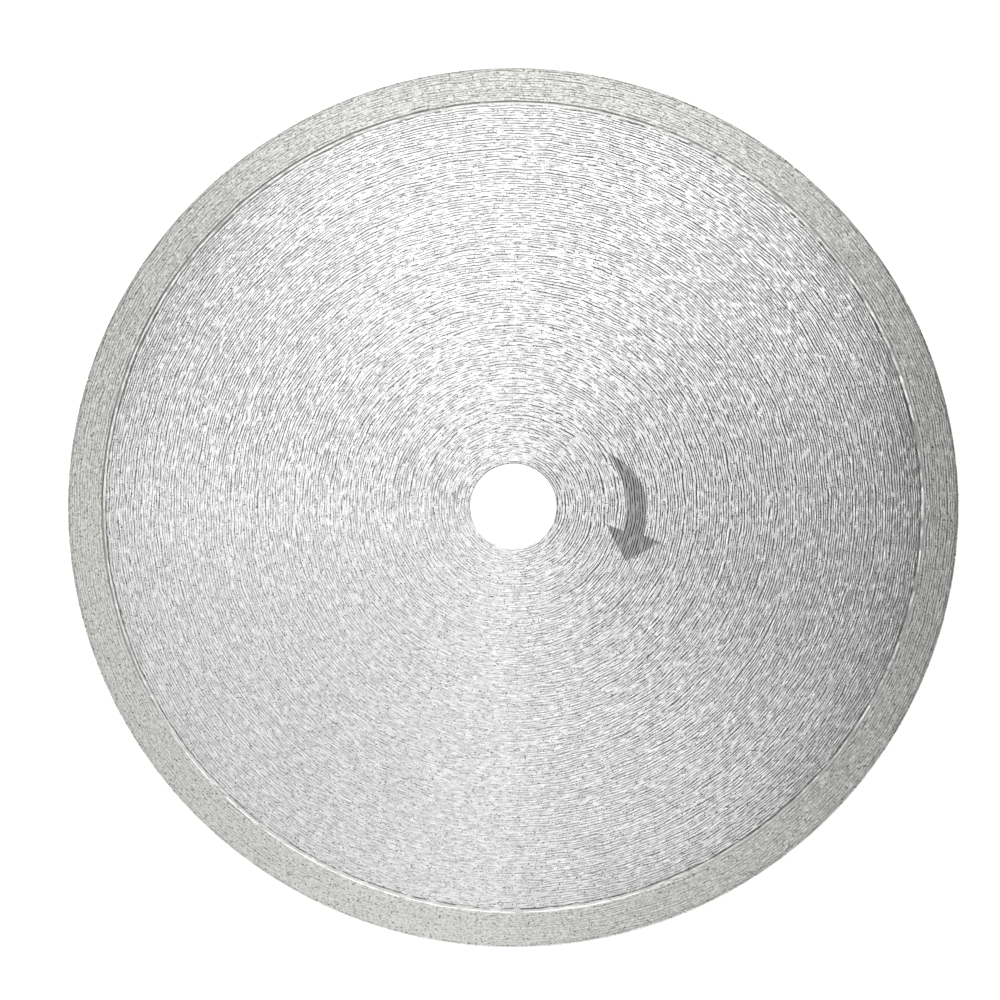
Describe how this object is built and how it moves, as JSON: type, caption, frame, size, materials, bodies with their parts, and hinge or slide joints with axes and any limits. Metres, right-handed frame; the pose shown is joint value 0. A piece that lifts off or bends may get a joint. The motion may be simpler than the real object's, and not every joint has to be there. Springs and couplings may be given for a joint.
{
  "type": "diamond blade",
  "caption": "Round continuous-rim diamond cutting blade: thin ground steel core with an arbor bore, and a thicker sintered diamond rim brazed round its edge.",
  "frame": {"origin": "centre of the arbor bore, half way through the blade's thickness", "axes": "+Z along the arbor axis, out of the face that carries the direction arrow; the blade lies in the XY plane"},
  "size_m": [0.2302, 0.2302, 0.0024],
  "materials": {
    "ground_steel": "circularly ground",
    "silver_braze": "flowed braze, silver-white",
    "sintered_bond": "ground sintered metal, yellowish grey",
    "diamond_crystal": "crystal faces"
  },
  "bodies": {
    "root": {"steel_core": "ground_steel", "braze_ring": "silver_braze", "diamond_rim": "sintered_bond", "upper_grit": "diamond_crystal", "lower_grit": "diamond_crystal", "edge_grit": "diamond_crystal"}
  },
  "joints": []
}
